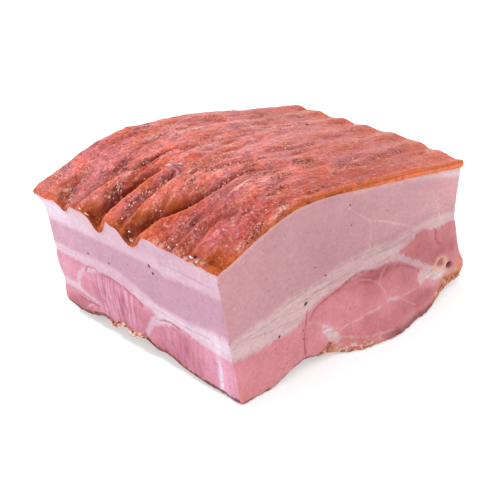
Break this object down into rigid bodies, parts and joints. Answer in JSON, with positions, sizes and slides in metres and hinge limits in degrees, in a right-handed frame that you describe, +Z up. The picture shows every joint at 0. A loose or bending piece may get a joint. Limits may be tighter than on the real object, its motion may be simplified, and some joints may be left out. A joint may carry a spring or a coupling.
{
  "type": "slab bacon chunk",
  "caption": "Chunk of smoked slab bacon, cut square from the side: domed wrinkled rind on top, layered fat and lean on the cut sides, uneven smoked underside.",
  "frame": {"origin": "on the table under the middle of the chunk's box", "axes": "+X along the long cut face, +Y from the long cut face to the back, +Z up from the underside to the rind"},
  "size_m": [0.1312, 0.1032, 0.0628],
  "materials": {
    "cut_meat": "moist cut fat and lean meat, stood in for by a soft rubber of the same kind of sheen",
    "smoked_rind": "smoked pork skin, wrinkled, oily and glossy"
  },
  "bodies": {
    "root": {"bacon_slab": "cut_meat"}
  },
  "joints": []
}
